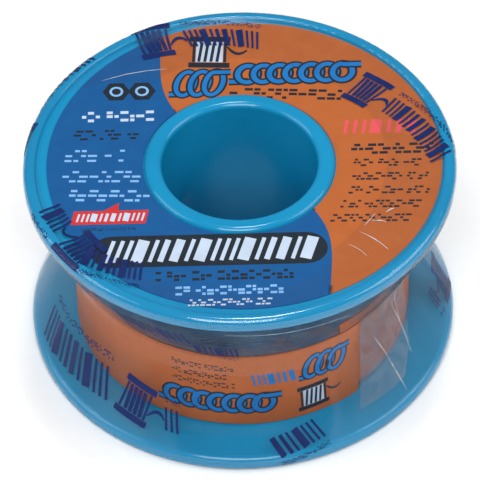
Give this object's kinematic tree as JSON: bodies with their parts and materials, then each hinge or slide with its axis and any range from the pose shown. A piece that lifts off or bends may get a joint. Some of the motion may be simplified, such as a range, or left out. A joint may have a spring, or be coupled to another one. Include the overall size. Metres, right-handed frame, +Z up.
{
  "type": "solder wire spool",
  "caption": "Small moulded spool of flux-cored solder wire with a through bore, face and band labels, sealed in clear printed shrink film.",
  "frame": {"origin": "centre of the bore, on the surface that the spool stands on", "axes": "+Z up along the bore, -Y towards the front of the labels"},
  "size_m": [0.0452, 0.0452, 0.0234],
  "materials": {
    "spool_plastic": "glossy sky-blue moulded polystyrene",
    "solder": "bright drawn tin-lead wire",
    "flux": "amber rosin",
    "band_paper": "orange printed coated paper",
    "face_paper": "blue and orange printed coated paper",
    "film": "clear glossy heat-shrunk film with navy printing"
  },
  "bodies": {
    "root": {"upper_spool_half": "spool_plastic", "lower_spool_half": "spool_plastic", "solder_winding": "solder", "wire_start_tail": "solder", "wire_free_end": "solder", "flux_core": "flux", "band_label": "band_paper", "upper_face_label": "face_paper", "lower_face_label": "face_paper", "shrink_film": "film"}
  },
  "joints": []
}
